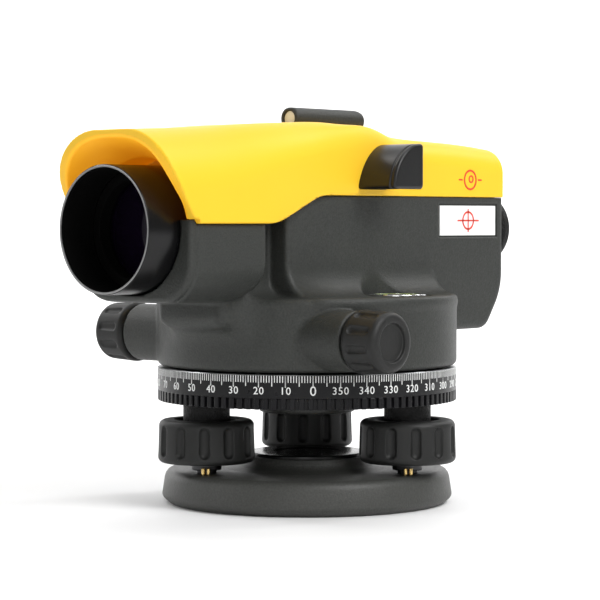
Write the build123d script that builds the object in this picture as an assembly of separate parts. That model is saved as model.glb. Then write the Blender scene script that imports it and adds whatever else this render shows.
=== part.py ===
from build123d import *
import os
from math import cos, pi, radians, sin, sqrt

os.makedirs("parts", exist_ok=True)

# Automatic level. Z is the standing axis and the tripod thread's axis, Z = 0 is the
# underside of the base plate. X runs along the telescope: objective at -X, eyepiece
# at +X. The circular level is on the -Y side, the focusing knob on the +Y side.

# --- driving dimensions, in millimetres -------------------------------------------
BASE_R = 53.4
BASE_TOP = 12.4
BASE_HUB_R = 23.0
BASE_HUB_TOP = 17.2
THREAD_R = 6.8            # 5/8"-11 UNC, minor radius
THREAD_DEPTH = 14.0

FOOT_PITCH_R = 41.7
FOOT_ANGLES = (42.0, 162.0, 282.0)
PIN_SIDE = 222.0          # compass side on which each foot's two brass pins stand
BALL_R = 5.0
BALL_Z = 8.0
STEM_R = 3.5
FOOT_KNOB_R = 17.5
FOOT_KNOB_Z0 = 16.4
FOOT_KNOB_Z1 = 31.9

RING_R = 54.9
RING_Z0 = 37.6
RING_Z1 = 49.75
PLATE_R = 51.5            # tribrach plate, the ring's bearing
PLATE_Z0 = 38.0
PLATE_Z1 = 43.0
BUSHING_R = 8.4

SPINDLE_R = 7.96
SLEEVE_BORE_R = 8.0
WHEEL_TEETH = 112
MODULE = 0.5
WHEEL_R = WHEEL_TEETH * MODULE / 2
DRIVE_X = -32.7
DRIVE_Z = 61.7
DRIVE_END = 68.7
DRIVE_KNOB_R = 11.2
WORM_R = -DRIVE_X - WHEEL_R

TURRET_R = 55.0
TURRET_Z0 = 50.3
SHELF_Z = 76.0
WALL = 3.0

AXIS_Z = 100.0            # telescope axis
BOX_X0 = -38.0
BOX_X1 = 86.5
BOX_HALF = 25.0
BLOCK_X0 = -88.0
BLOCK_X1 = -51.0
BLOCK_HALF = 28.0
PARTING_FRONT = 102.0     # the cover's parting line: low in front, high behind
PARTING_REAR = 112.0
PARTING_X0 = -47.0        # the slanted stretch between the two
PARTING_X1 = -22.5

HOOD_R = 22.0
HOOD_X0 = -102.0
LENS_R = 18.0
TUBE_R = 14.0
CELL_R = 12.45

FOCUS_X = -12.0
FOCUS_MODULE = 0.6
FOCUS_TEETH = 10
PINION_R = FOCUS_TEETH * FOCUS_MODULE / 2
FOCUS_Z = 98.5
RACK_X0 = -26.0
RACK_X1 = -2.0

LEVEL_X = 6.0
LEVEL_Y = -38.0
LEVEL_Z0 = SHELF_Z - 3.8   # the level is let into the shelf
LEVEL_Z1 = SHELF_Z + 1.9
SIGHT_Z = 140.3
PENDULUM_X = 29.0
COVER_POSTS = ((-28.0, -18.0), (14.0, 18.0), (76.0, -17.5), (76.0, 17.5))


# --- small helpers ------------------------------------------------------------------
UP = (Align.CENTER, Align.CENTER, Align.MIN)


def disc(radius, z0, z1, x=0.0, y=0.0):
    """Upright cylinder between two heights."""
    return Pos(x, y, z0) * Cylinder(radius, z1 - z0, align=UP)


def rod_x(radius, x0, x1, y=0.0, z=AXIS_Z):
    """Cylinder along X."""
    return Pos(x0, y, z) * Rot(0, 90, 0) * Cylinder(radius, x1 - x0, align=UP)


def rod_y(radius, y0, y1, x=0.0, z=0.0):
    """Cylinder along Y."""
    return Pos(x, y0, z) * Rot(-90, 0, 0) * Cylinder(radius, y1 - y0, align=UP)


def block(x0, x1, y0, y1, z0, z1):
    """Box between two corners."""
    centre = Pos((x0 + x1) / 2, (y0 + y1) / 2, (z0 + z1) / 2)
    return centre * Box(x1 - x0, y1 - y0, z1 - z0)


def turned(points):
    """Solid of revolution about Z from (radius, height) corners."""
    outline = Polyline(*[(r, 0, z) for r, z in points], close=True)
    return revolve(make_face(outline), Axis.Z)


def turned_x(points):
    """Solid of revolution about the telescope axis from (x, radius) corners."""
    outline = Polyline(*[(x, 0, AXIS_Z + r) for x, r in points], close=True)
    return revolve(make_face(outline), Axis((0, 0, AXIS_Z), (1, 0, 0)))


def side_slab(points, half):
    """Side outline of (x, z) corners, extruded to both sides of Y = 0."""
    outline = Polyline(*[(x, 0, z) for x, z in points], close=True)
    return extrude(make_face(outline), amount=half, both=True)


def parting_z(x):
    """Height of the parting line on its slanted stretch."""
    share = (x - PARTING_X0) / (PARTING_X1 - PARTING_X0)
    return PARTING_FRONT + (PARTING_REAR - PARTING_FRONT) * share


def around(radius, angle):
    """Point on a circle about Z."""
    return radius * cos(radians(angle)), radius * sin(radians(angle))


def lens(x_front, x_rear, radius, bulge_front, bulge_rear):
    """Spherical lens on the telescope axis; a negative bulge is hollow."""
    arcs = []
    for x_edge, bulge in ((x_front, -bulge_front), (x_rear, bulge_rear)):
        curve_r = (radius ** 2 + bulge ** 2) / (2 * abs(bulge))
        half_sag = curve_r - sqrt(curve_r ** 2 - radius ** 2 / 4)
        x_half = x_edge + bulge * (1 - half_sag / abs(bulge))
        arcs.append(ThreePointArc(
            (x_edge, 0, AXIS_Z + radius), (x_half, 0, AXIS_Z + radius / 2), (x_edge + bulge, 0, AXIS_Z),
        ))
    front, rear = arcs
    face = make_face([front, Line(front @ 1, rear @ 1), rear, Line(rear @ 0, front @ 0)])
    return revolve(face, Axis((0, 0, AXIS_Z), (1, 0, 0)))


def grip_knob(radius, length, flutes, flute_r, flute_from, dish_r, dish_depth, bore_r, edge=1.4):
    """Knob standing on Z = 0 with long rounded flutes that run out at its top end."""
    knob = Cylinder(radius, length, align=UP)
    knob = fillet(knob.edges().sort_by(Axis.Z)[-1], edge)
    knob = chamfer(knob.edges().sort_by(Axis.Z)[0], 0.6)
    cutter = None
    for i in range(flutes):
        x, y = around(radius + flute_r * 0.55, 360 * i / flutes)
        groove = Pos(x, y, flute_from) * Cylinder(flute_r, length, align=UP)
        groove += Pos(x, y, flute_from) * Sphere(flute_r)
        cutter = groove if cutter is None else cutter + groove
    knob -= cutter
    if dish_depth > 0:
        knob -= Pos(0, 0, length - dish_depth) * Cylinder(dish_r, length, align=UP)
    if bore_r > 0:
        knob -= Cylinder(bore_r, length, align=UP)
    return knob


# --- base --------------------------------------------------------------------------
def base_plate():
    """Round footplate with hub, thread seat, three ball sockets and a spring recess."""
    body = turned([
        (0, 0), (BASE_R - 2.6, 0), (BASE_R, 2.2), (52.6, BASE_TOP - 3.0), (50.6, BASE_TOP - 0.9),
        (48.6, BASE_TOP), (BASE_HUB_R + 4.5, BASE_TOP), (BASE_HUB_R + 1.2, BASE_TOP + 1.5),
        (BASE_HUB_R, BASE_HUB_TOP), (0, BASE_HUB_TOP),
    ])
    body -= disc(10.0, 0, THREAD_DEPTH)
    body -= disc(47.4, 0, 2.6) - disc(20.0, 0, 2.6)
    for angle in FOOT_ANGLES:
        x, y = around(FOOT_PITCH_R, angle)
        body -= disc(BALL_R + 0.3, 0, BALL_Z, x, y)
        body -= Pos(x, y, BALL_Z) * Sphere(BALL_R + 0.3)
        body -= disc(STEM_R + 0.9, BALL_Z, BASE_TOP + 1, x, y)
    return body


def thread_bush():
    """Steel insert with the tripod thread's bore."""
    return disc(10.0, 0, THREAD_DEPTH) - disc(THREAD_R, 0, THREAD_DEPTH - 1.0)


def hub_cap():
    """Black disc that covers the top of the base hub."""
    cap = disc(BASE_HUB_R - 1.6, BASE_HUB_TOP, BASE_HUB_TOP + 1.2)
    return chamfer(cap.edges().sort_by(Axis.Z)[-1], 0.5)


def spring_plate():
    """Ring-shaped spring under the base that holds the three ball feet up."""
    return disc(47.0, 1.2, 2.4) - disc(20.4, 1.2, 2.4)


def spring_plate_screws():
    """Three countersunk screws between the feet."""
    screws = []
    for angle in FOOT_ANGLES:
        x, y = around(34.0, angle + 60)
        screws.append(disc(2.8, 0.3, 1.2, x, y))
    return screws


def brass_pins():
    """Two upright pins beside each foot, on the same compass side."""
    pins = []
    for angle in FOOT_ANGLES:
        x, y = around(FOOT_PITCH_R, angle)
        for side in (-1, 1):
            dx, dy = around(7.0, PIN_SIDE)
            tx, ty = around(0.95 * side, PIN_SIDE + 90)
            pins.append(disc(0.6, BASE_TOP, BASE_TOP + 2.4, x + dx + tx, y + dy + ty))
    return pins


# --- footscrews --------------------------------------------------------------------
def footscrew_stem(angle):
    """Levelling screw: ball foot, collar under the knob and plain upper shank."""
    x, y = around(FOOT_PITCH_R, angle)
    stem = Pos(x, y, BALL_Z) * Sphere(BALL_R)
    stem -= disc(BALL_R + 1, 0, BALL_Z - 3.9, x, y)
    stem += disc(STEM_R, BALL_Z, 42.0, x, y)
    stem += disc(5.4, BASE_TOP + 1.2, FOOT_KNOB_Z0, x, y)
    return stem


def footscrew_knob(angle):
    """Fluted knob with a well round the bushing."""
    x, y = around(FOOT_PITCH_R, angle)
    height = FOOT_KNOB_Z1 - FOOT_KNOB_Z0
    knob = grip_knob(FOOT_KNOB_R, height, 12, 2.6, 4.6, 11.4, 7.7, STEM_R + 0.1, edge=2.2)
    return Pos(x, y, FOOT_KNOB_Z0) * Rot(0, 0, PIN_SIDE) * knob


# --- tribrach ----------------------------------------------------------------------
def tribrach_body():
    """Round plate on three bushings, with the bearing boss of the standing axis."""
    body = turned([
        (0, 33.0), (16.2, 33.0), (17.7, 34.5), (17.7, PLATE_Z0), (PLATE_R, PLATE_Z0),
        (PLATE_R, PLATE_Z1), (19.0, PLATE_Z1), (19.0, 55.0), (14.0, 55.0), (14.0, 66.5), (0, 66.5),
    ])
    body -= disc(11.0, 35.5, 66.5)
    for angle in FOOT_ANGLES:
        x, y = around(FOOT_PITCH_R, angle)
        body -= disc(BUSHING_R, PLATE_Z0, PLATE_Z1, x, y)
    return body


def footscrew_bushings():
    """Three threaded bushings; the plain bore leaves room for the screws' lean."""
    bushings = []
    for angle in FOOT_ANGLES:
        x, y = around(FOOT_PITCH_R, angle)
        tube = disc(BUSHING_R, 27.0, PLATE_Z1, x, y) - disc(5.2, 27.0, PLATE_Z1, x, y)
        bushings.append(tube)
    return bushings


def axis_sleeve():
    """Plain bearing of the standing axis."""
    return disc(11.0, 35.5, 66.0) - disc(SLEEVE_BORE_R, 35.5, 66.0)


def clutch_washer():
    """Sprung washer whose friction lets the instrument be turned by hand."""
    return disc(18.6, 55.0, 57.7) - disc(14.1, 55.0, 57.7)


def circle_ring():
    """Horizontal circle: outer band, grip slots below and an inner bearing flange."""
    ring = disc(RING_R, RING_Z0, RING_Z1) - disc(PLATE_R + 0.08, RING_Z0, RING_Z1)
    ring += disc(PLATE_R + 1, PLATE_Z1 + 0.2, PLATE_Z1 + 1.6) - disc(47.0, PLATE_Z1, RING_Z1)
    slots = None
    for i in range(54):
        x, y = around(RING_R + 0.5, 360 * i / 54)
        slot = disc(1.0, RING_Z0 - 1, RING_Z0 + 3.2, x, y)
        slots = slot if slots is None else slots + slot
    return ring - slots


def tangent_wheel():
    """Worm wheel with straight teeth that carries the housing's slow motion."""
    root_r = WHEEL_R - 0.45
    tip_r = WHEEL_R + 0.3
    wheel = disc(root_r, 58.2, 65.2)
    teeth = []
    for i in range(WHEEL_TEETH):
        tooth = block(root_r - 0.4, tip_r, -0.26, 0.26, 58.2, 65.2)
        teeth.append(Rot(0, 0, 180 + 360 * (i + 0.5) / WHEEL_TEETH) * tooth)
    wheel = wheel.fuse(*teeth)
    wheel -= disc(14.06, 58.0, 66.0)
    wheel -= disc(25.0, 62.8, 66.0) - disc(17.0, 62.0, 66.0)
    return wheel


# --- horizontal drive --------------------------------------------------------------
def drive_shaft():
    """Through shaft with a single-start worm at its middle."""
    lead = 2 * pi * WHEEL_R / WHEEL_TEETH
    shaft = rod_y(3.0, -DRIVE_END + 3, DRIVE_END - 3, DRIVE_X, DRIVE_Z)
    shaft += rod_y(WORM_R - 0.5, -6.5, 6.5, DRIVE_X, DRIVE_Z)
    turns = 7
    length = lead * turns
    path = Helix(pitch=lead, height=length, radius=WORM_R - 0.1)
    section = Plane(origin=path @ 0, x_dir=(1, 0, 0), z_dir=path % 0)
    ridge = sweep(section * Rectangle(0.9, 0.5), path=path, is_frenet=True)
    # The helix starts at +X of the upright worm; laid along +Y its ridge faces the wheel at Y = 0.
    ridge = Pos(DRIVE_X, -length / 2 + lead / 2, DRIVE_Z) * Rot(-90, 0, 0) * ridge
    return shaft + ridge


def drive_knob(side):
    """Fluted knob on one end of the drive shaft."""
    knob = grip_knob(DRIVE_KNOB_R, 15.0, 9, 2.6, 4.2, 7.6, 2.2, 0, edge=1.6)
    knob -= Cylinder(3.0, 12.0, align=UP)
    turn = Rot(-90, 0, 0) if side > 0 else Rot(90, 0, 0)
    return Pos(DRIVE_X, side * (DRIVE_END - 15.0), DRIVE_Z) * turn * knob


def drive_bushes():
    """Plain bearings of the drive shaft in the turret's bosses."""
    bushes = []
    for side in (-1, 1):
        y0, y1 = sorted((side * 42.0, side * 53.0))
        tube = rod_y(5.5, y0, y1, DRIVE_X, DRIVE_Z) - rod_y(3.05, y0, y1, DRIVE_X, DRIVE_Z)
        bushes.append(tube)
    return bushes


# --- housing -----------------------------------------------------------------------
def housing_side():
    """Side outline of the telescope box and its rear overhang."""
    return [
        (BOX_X0, SHELF_Z - 3), (44.0, SHELF_Z - 3), (48.0, 61.7),
        (76.3, 61.7), (BOX_X1, 76.4), (BOX_X1, PARTING_REAR),
        (PARTING_X1, PARTING_REAR), (BOX_X0, parting_z(BOX_X0)),
    ]


def main_housing():
    """Cast housing: turret, telescope box with rear overhang, neck and front cradle."""
    turret = disc(TURRET_R, TURRET_Z0, SHELF_Z)
    turret = fillet(turret.edges().sort_by(Axis.Z)[-1], 2.5)
    box = side_slab(housing_side(), BOX_HALF)
    upright = box.edges().filter_by(Axis.Z).group_by(Axis.X)[0]
    box = fillet(upright, 8.0)
    neck = block(BLOCK_X1 - 3, BOX_X0 + 9, -20.0, 20.0, 72.0, PARTING_FRONT)
    cradle = block(BLOCK_X0, BLOCK_X1, -BLOCK_HALF, BLOCK_HALF, 74.5, PARTING_FRONT)
    cradle = fillet(cradle.edges().filter_by(Axis.X).group_by(Axis.Z)[0], 14.0)
    body = turret + box + neck + cradle
    for side in (-1, 1):
        y0, y1 = sorted((side * 36.0, side * 53.0))
        body += rod_y(10.5, y0, y1, DRIVE_X, DRIVE_Z)
    focus_boss = rod_y(9.0, 18.4, 27.0, FOCUS_X, FOCUS_Z)
    cavity = disc(TURRET_R - WALL, TURRET_Z0 - 1, 71.0)
    cavity += side_slab([
        (BOX_X0 + WALL, SHELF_Z), (62.0, SHELF_Z), (62.0, 66.0), (74.5, 66.0),
        (BOX_X1 - WALL, 79.0), (BOX_X1 - WALL, 130.0), (BOX_X0 + WALL, 130.0),
    ], BOX_HALF - WALL)
    body -= cavity
    body += focus_boss
    for angle in (0, 90, 180, 270):
        x, y = around(46.5, angle)
        body += disc(4.0, 52.8, 71.5, x, y)
        body -= disc(1.5, 52.8, 62.0, x, y)
    for side in (-1, 1):
        y0, y1 = sorted((side * 30.0, side * 54.0))
        body -= rod_y(5.5, y0, y1, DRIVE_X, DRIVE_Z)
    body -= rod_x(HOOD_R, BLOCK_X0 - 1, BLOCK_X1 - 2)
    body -= rod_x(TUBE_R, BLOCK_X1 - 4, BOX_X0 + WALL + 1)
    body -= rod_x(11.5, BOX_X1 - WALL - 1, BOX_X1 + 1)
    body -= rod_y(2.3, 18.0, 28.0, FOCUS_X, FOCUS_Z)
    body -= disc(8.5, LEVEL_Z0, SHELF_Z + 1, LEVEL_X, LEVEL_Y)
    for x, y in COVER_POSTS:
        post = disc(3.6, SHELF_Z - 1, PARTING_REAR - 0.5, x, y)
        body += post - disc(1.5, PARTING_REAR - 12, PARTING_REAR, x, y)
    return body


def spindle():
    """Standing axis of the housing, flanged to the underside of its deck."""
    return disc(SPINDLE_R, 36.5, 68.5) + disc(20.0, 68.0, 71.0)


def bottom_plate():
    """Dust plate that closes the turret from below."""
    plate = disc(51.7, TURRET_Z0, 52.8) - disc(20.5, TURRET_Z0, 52.8)
    for angle in (0, 90, 180, 270):
        x, y = around(46.5, angle)
        plate -= disc(3.0, TURRET_Z0, 51.5, x, y) + disc(1.5, TURRET_Z0, 53, x, y)
    return plate


def housing_screws():
    """Three screw heads under the spindle flange and four screws of the dust plate."""
    screws = []
    for i in range(3):
        x, y = around(16.0, 30 + 120 * i)
        screws.append(disc(2.6, 66.9, 68.0, x, y))
    for angle in (0, 90, 180, 270):
        x, y = around(46.5, angle)
        screws.append(disc(2.9, TURRET_Z0 + 0.1, 51.5, x, y) + disc(1.45, 51.0, 61.0, x, y))
    return screws


# --- cover -------------------------------------------------------------------------
def cover_form(inset):
    """Outer form of the cover, or its hollow when the inset is the wall."""
    corner = (BOX_X0 + inset, 0, parting_z(BOX_X0 + inset))
    rear_top = Spline(
        (BOX_X0 + inset, 0, 137.6 - inset), (-8.0, 0, 139.0 - inset), (24.0, 0, 134.6 - inset),
        (50.0, 0, 130.8 - inset), (BOX_X1 - inset, 0, 128.4 - inset),
    )
    rear_face = make_face([
        rear_top,
        Line(rear_top @ 1, (BOX_X1 - inset, 0, PARTING_REAR)),
        Line((BOX_X1 - inset, 0, PARTING_REAR), (PARTING_X1, 0, PARTING_REAR)),
        Line((PARTING_X1, 0, PARTING_REAR), corner),
        Line(corner, rear_top @ 0),
    ])
    rear = extrude(rear_face, amount=BOX_HALF + 0.4 - inset, both=True)
    long_edges = rear.edges().filter_by(GeomType.BSPLINE).sort_by(Axis.Z)[-2:]
    rear = fillet(long_edges, 8.0 - inset)
    half = 29.6 - inset
    top = 134.6 - inset
    arch = Pos(0, 0, (top + 60.0) / 2) * Box(80.0, 2 * half, top - 60.0)
    arch = fillet(arch.edges().filter_by(Axis.X).group_by(Axis.Z)[-1], 20.0 - inset)
    arch = Pos(-102.0 + 40.0, 0, 0) * arch
    wedge = side_slab([
        (-99.0, 134.0), (-98.5, 127.6), (-96.6, 120.0), (-92.7, 111.3), (-86.5, PARTING_FRONT),
        (PARTING_X0, PARTING_FRONT), (-26.0, parting_z(-26.0)), (-26.0, 138.0), (-99.0, 138.0),
    ], 40.0)
    if inset > 0:
        wedge = block(-110.0, -26.0 - inset, -40.0, 40.0, 90.0, 138.0)
    return rear, arch & wedge


def top_cover():
    """Hollow cover with a visor over the objective."""
    rear, front = cover_form(0.0)
    rear_hollow, front_hollow = cover_form(2.6)
    cover = rear + front
    cover -= rear_hollow
    cover -= front_hollow
    cover -= block(-60.0, -20.0, -19.0, 19.0, 100.0, 129.0)
    cover -= rod_x(4.35, -10.4, 28.5, 0, SIGHT_Z)
    for x, y in COVER_POSTS:
        boss = disc(3.6, PARTING_REAR - 0.5, 140.0, x, y) & rear
        cover += boss - disc(1.5, PARTING_REAR - 1, 120.0, x, y)
    return cover


def cover_screws():
    """Four long screws from the housing's posts into the cover's bosses."""
    screws = []
    for x, y in COVER_POSTS:
        screws.append(disc(1.45, PARTING_REAR - 11, 119.5, x, y))
    return screws


# --- telescope ---------------------------------------------------------------------
def objective_tube():
    """Lens hood and objective cell in one thin turned tube."""
    return turned_x([
        (HOOD_X0, HOOD_R - 1.1), (HOOD_X0, HOOD_R), (-54.0, HOOD_R), (-54.0, 16.5), (-70.0, 16.5),
        (-70.0, LENS_R + 0.05), (-86.0, LENS_R + 0.05), (-86.0, HOOD_R - 1.1),
    ])


def objective_retainer():
    """Threaded ring that holds the front lens."""
    return turned_x([(-87.5, 17.0), (-87.5, 20.6), (-86.0, 20.6), (-86.0, 18.0), (-83.0, 18.0), (-83.0, 17.0)])


def telescope_tube():
    """Inner tube that guides the focusing cell, with a slot for the rack's finger."""
    tube = rod_x(TUBE_R, -54.0, 0.0) - rod_x(CELL_R + 0.05, -54.0, 0.0)
    return tube - block(-34.6, -12.4, 8.0, 16.0, 91.8, 95.2)


def focusing_cell():
    """Short sliding cell of the internal focusing lens."""
    return rod_x(CELL_R, -30.0, -16.0) - rod_x(9.0, -30.0, -16.0)


def focus_rack():
    """Rack beside the tube, joined to the cell by a finger."""
    pitch = pi * FOCUS_MODULE
    rack = block(RACK_X0, RACK_X1, 14.3, 17.3, 91.0, 95.1)
    finger = block(RACK_X0, RACK_X0 + 5.0, 9.6, 14.3, 92.2, 94.8) - rod_x(CELL_R, -30.0, -16.0)
    teeth = []
    first = -int((FOCUS_X - RACK_X0) / pitch)
    last = int((RACK_X1 - FOCUS_X) / pitch)
    for i in range(first, last):
        x = FOCUS_X + (i + 0.5) * pitch
        teeth.append(block(x - 0.36, x + 0.36, 14.3, 17.3, 95.0, 95.8))
    return rack.fuse(finger, *teeth)


def focus_shaft():
    """Focusing shaft with its pinion, one tooth pointing down at the rack."""
    shaft = rod_y(2.25, 17.5, 40.0, FOCUS_X, FOCUS_Z)
    gear = rod_y(PINION_R - 0.45, 14.5, 17.6, FOCUS_X, FOCUS_Z)
    teeth = []
    for i in range(FOCUS_TEETH):
        tooth = block(-0.34, 0.34, 14.5, 17.1, -(PINION_R + 0.28), -(PINION_R - 0.8))
        teeth.append(Pos(FOCUS_X, 0, FOCUS_Z) * Rot(0, 360 * i / FOCUS_TEETH, 0) * tooth)
    return shaft.fuse(gear, *teeth)


def focus_knob():
    """Large fluted focusing knob."""
    knob = grip_knob(16.0, 15.5, 12, 2.8, 4.5, 11.0, 1.6, 0, edge=1.8)
    knob -= Cylinder(2.25, 12.7, align=UP)
    return Pos(FOCUS_X, 27.4, FOCUS_Z) * Rot(-90, 0, 0) * knob


def eyepiece_flange():
    """Tube and flange on the rear wall that carry reticle and eyepiece."""
    return turned_x([
        (60.0, 10.05), (60.0, 11.5), (BOX_X1, 11.5), (BOX_X1, 16.0), (88.5, 16.0), (88.5, 10.05),
    ])


def eyepiece_barrel():
    """Sliding eyepiece tube."""
    return rod_x(10.0, 68.0, 101.0) - rod_x(8.2, 68.0, 101.0)


def dioptre_ring():
    """Turning ring that sets the eyepiece."""
    ring = rod_x(14.5, 89.0, 99.0) - rod_x(10.2, 89.0, 99.0)
    flutes = None
    for i in range(24):
        y, z = around(15.0, 15 * i)
        groove = rod_x(1.2, 91.0, 100.0, y, AXIS_Z + z)
        flutes = groove if flutes is None else flutes + groove
    return ring - flutes


def eyecup():
    """Soft rubber cup on the end of the eyepiece barrel."""
    return turned_x([
        (101.0, 6.5), (101.0, 12.0), (102.2, 13.6), (105.0, 13.9), (105.0, 12.2), (103.0, 10.5), (102.2, 6.5),
    ])


# --- compensator -------------------------------------------------------------------
def compensator_frame():
    """Frame with two lit end walls and a top bar."""
    frame = block(6.0, 52.0, -13.5, 13.5, SHELF_Z, 79.0)
    frame += block(6.0, 52.0, -13.5, 13.5, 117.0, 120.0)
    for x in (6.0, 49.0):
        frame += block(x, x + 3.0, -13.5, 13.5, SHELF_Z, 120.0)
    frame -= rod_x(7.0, 5.0, 53.0)
    for x in (17.0, 41.0):
        for side in (-1, 1):
            y0, y1 = sorted((side * 7.0, side * 8.0))
            frame += block(x - 4, x + 4, y0, y1, 92.5, 117.5)
    return frame


def fixed_prism(x_centre, lean):
    """Fixed glass prism between the frame's cheeks."""
    a = x_centre - 5.5
    b = x_centre + 5.5
    low = a if lean > 0 else b
    return side_slab([(a, 107.0), (b, 107.0), (low, 94.0)], 7.0)


def pendulum_arm():
    """Hanging yoke with a tray for the swinging prism."""
    arm = block(22.0, 36.0, -11.0, 11.0, 81.2, 84.0)
    for y in (-11.0, 9.4):
        arm += block(26.0, 32.0, y, y + 1.6, 81.2, 112.0)
    return arm


def pendulum_prism():
    """Prism that hangs level whatever the housing does."""
    return side_slab([(22.5, 84.0), (35.5, 84.0), (PENDULUM_X + 0.6, 90.5), (PENDULUM_X - 0.6, 90.5)], 7.0)


def suspension_wires():
    """Four short suspension wires, two to each side of the yoke."""
    wires = []
    for x in (27.2, 30.8):
        for y in (-10.2, 10.2):
            wires.append(disc(0.35, 112.0, 116.85, x, y))
    return wires


def damper_magnet():
    """Block magnet under the yoke that damps its swing."""
    return block(24.0, 34.0, -7.0, 7.0, 79.0, 80.5)


# --- circular level, sight, label --------------------------------------------------
def level_bezel():
    """Turned seat of the circular level."""
    return Pos(LEVEL_X, LEVEL_Y, 0) * turned([
        (0, LEVEL_Z0), (8.4, LEVEL_Z0), (8.4, SHELF_Z), (10.5, SHELF_Z), (10.5, LEVEL_Z1 - 0.6),
        (9.9, LEVEL_Z1), (8.2, LEVEL_Z1), (8.2, LEVEL_Z0 + 1.4), (0, LEVEL_Z0 + 1.4),
    ])


def level_vial():
    """Domed glass vial."""
    vial = disc(8.1, LEVEL_Z0 + 1.4, LEVEL_Z1 - 0.3, LEVEL_X, LEVEL_Y)
    return fillet(vial.edges().sort_by(Axis.Z)[-1], 1.0)


def prism_housing():
    """Quarter-round hood that shows the level to the eyepiece side, open below."""
    outline = [(14.0, 114.3), (14.0, 131.0), (8.5, 131.0), (0.6, 125.0), (-2.0, 114.3)]
    hood = Pos(0, -34.7, 0) * side_slab(outline, 9.3)
    hollow = [(14.5, 113.0), (14.5, 128.6), (9.0, 128.6), (2.6, 123.8), (0.6, 113.0)]
    return hood - Pos(0, -34.7, 0) * side_slab(hollow, 7.2)


def level_prism():
    """Glass prism inside the hood."""
    outline = [(12.6, 114.8), (12.6, 127.4), (3.4, 116.0), (3.4, 114.8)]
    return Pos(0, -34.7, 0) * side_slab(outline, 6.9)


def sight_body():
    """Tubular open sight on the roof of the cover."""
    tube = rod_x(4.3, -10.0, 28.0, 0, SIGHT_Z)
    foot = block(8.0, 26.0, -2.2, 2.2, 131.0, 137.0) - cover_form(0.0)[0]
    return tube + foot - rod_x(2.7, -10.5, 28.5, 0, SIGHT_Z)


def sight_window():
    """Pale window at the front of the sight."""
    return rod_x(2.6, -9.2, -7.6, 0, SIGHT_Z)


def label_plate():
    """Blank plate on the near side wall."""
    return block(47.0, 81.0, -BOX_HALF - 0.6, -BOX_HALF, 97.5, 108.8)


# --- write every node --------------------------------------------------------------
nodes = {
    "base_plate": base_plate(),
    "thread_bush": thread_bush(),
    "hub_cap": hub_cap(),
    "spring_plate": spring_plate(),
    "spring_plate_screws": spring_plate_screws(),
    "brass_pins": brass_pins(),
    "tribrach_body": tribrach_body(),
    "footscrew_bushings": footscrew_bushings(),
    "axis_sleeve": axis_sleeve(),
    "clutch_washer": clutch_washer(),
    "circle_ring": circle_ring(),
    "tangent_wheel": tangent_wheel(),
    "drive_shaft": drive_shaft(),
    "drive_knob_near": drive_knob(-1),
    "drive_knob_far": drive_knob(1),
    "drive_bushes": drive_bushes(),
    "main_housing": main_housing(),
    "spindle": spindle(),
    "bottom_plate": bottom_plate(),
    "housing_screws": housing_screws(),
    "top_cover": top_cover(),
    "cover_screws": cover_screws(),
    "objective_tube": objective_tube(),
    "objective_retainer": objective_retainer(),
    "objective_lens_front": lens(-81.5, -77.6, LENS_R, 1.4, 1.2),
    "objective_lens_rear": lens(-74.0, -71.0, LENS_R, -1.2, 0.8),
    "telescope_tube": telescope_tube(),
    "focusing_cell": focusing_cell(),
    "focusing_lens": lens(-24.5, -21.5, 9.0, -0.8, -0.8),
    "focus_rack": focus_rack(),
    "focus_shaft": focus_shaft(),
    "focus_knob": focus_knob(),
    "eyepiece_flange": eyepiece_flange(),
    "reticle_ring": rod_x(10.0, 60.5, 64.0) - rod_x(6.0, 60.5, 64.0),
    "reticle_glass": rod_x(6.0, 61.5, 63.0),
    "eyepiece_barrel": eyepiece_barrel(),
    "eyepiece_field_lens": lens(72.0, 75.0, 8.2, 1.0, 0.4),
    "eyepiece_eye_lens": lens(93.0, 97.0, 8.2, 1.0, 1.0),
    "dioptre_ring": dioptre_ring(),
    "eyecup": eyecup(),
    "compensator_frame": compensator_frame(),
    "fixed_prism_front": fixed_prism(17.0, 1),
    "fixed_prism_rear": fixed_prism(41.0, -1),
    "pendulum_arm": pendulum_arm(),
    "pendulum_prism": pendulum_prism(),
    "suspension_wires": suspension_wires(),
    "damper_magnet": damper_magnet(),
    "level_bezel": level_bezel(),
    "level_vial": level_vial(),
    "prism_housing": prism_housing(),
    "level_prism": level_prism(),
    "sight_body": sight_body(),
    "sight_window": sight_window(),
    "label_plate": label_plate(),
}
for number, angle in enumerate(FOOT_ANGLES, start=1):
    nodes[f"footscrew_stem_{number}"] = footscrew_stem(angle)
    nodes[f"footscrew_knob_{number}"] = footscrew_knob(angle)

for name, shape in nodes.items():
    solids = shape if isinstance(shape, list) else shape.solids()
    group = Compound(label=name, children=[s for item in solids for s in item.solids()])
    export_step(group, f"parts/{name}.step")
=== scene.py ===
# %% [markdown]
# # An automatic level, piece by piece
# A surveyor's level is a telescope on a three-screw base. The lesson loads the engineering
# model as a fixed frame, then gives each visible piece its real surface. Every position
# below comes from the frame's own boxes, in millimetres, so nothing has to be fitted.

# %% Load the frame
import bpy
import bmesh
import numpy as np
from math import cos, pi, radians, sin, sqrt
from mathutils import Matrix, Vector


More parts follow.
